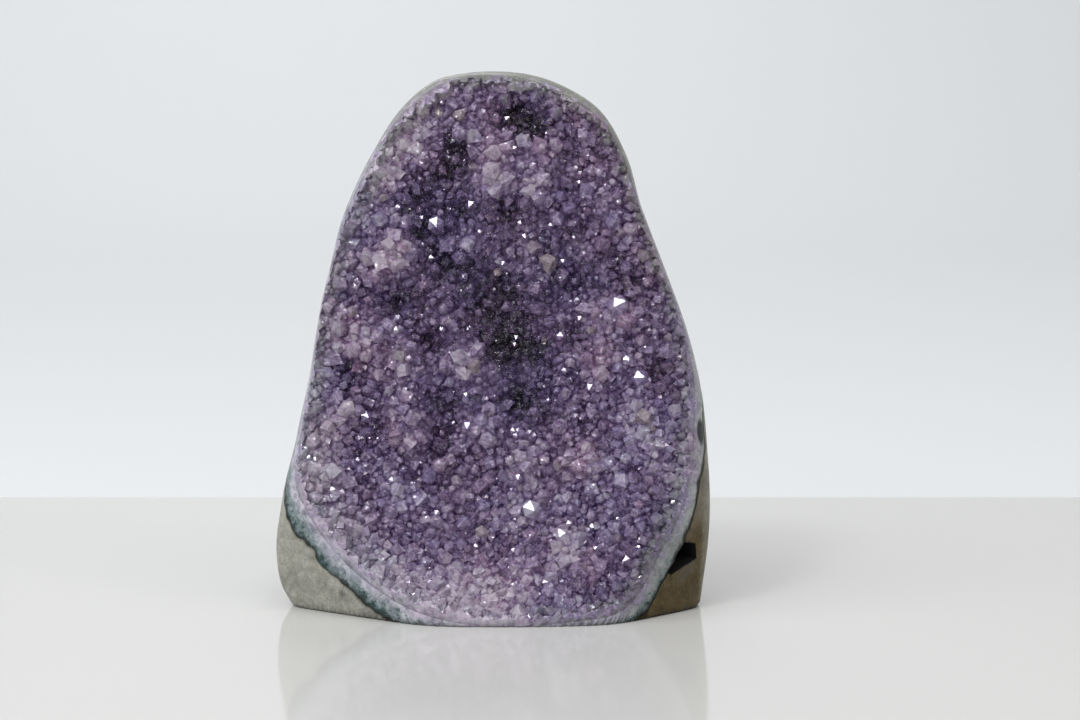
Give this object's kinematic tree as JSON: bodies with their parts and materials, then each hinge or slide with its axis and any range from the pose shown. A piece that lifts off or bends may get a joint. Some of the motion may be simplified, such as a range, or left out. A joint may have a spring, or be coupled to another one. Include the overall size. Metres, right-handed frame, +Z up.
{
  "type": "amethyst cluster",
  "caption": "Free-standing cut-base geode section: a flat sawn foot, a polished rim of basalt and agate, and a face of small amethyst crystals.",
  "frame": {"origin": "on the floor under the middle of the cluster's bounding box", "axes": "+Z up from the sawn foot, -Y out of the crystal face, +X to the right of someone who looks at the crystal face"},
  "size_m": [0.1142, 0.0665, 0.14],
  "materials": {
    "basalt": "polished at the foot's front corners and rim, rough natural surface behind",
    "agate": "polished, translucent, pale with a dark green outer band",
    "amethyst": "glassy natural crystal faces, polished where the rim cuts them"
  },
  "bodies": {
    "root": {"basalt_matrix": "basalt", "agate_lining": "agate", "amethyst_crust": "amethyst"}
  },
  "joints": []
}
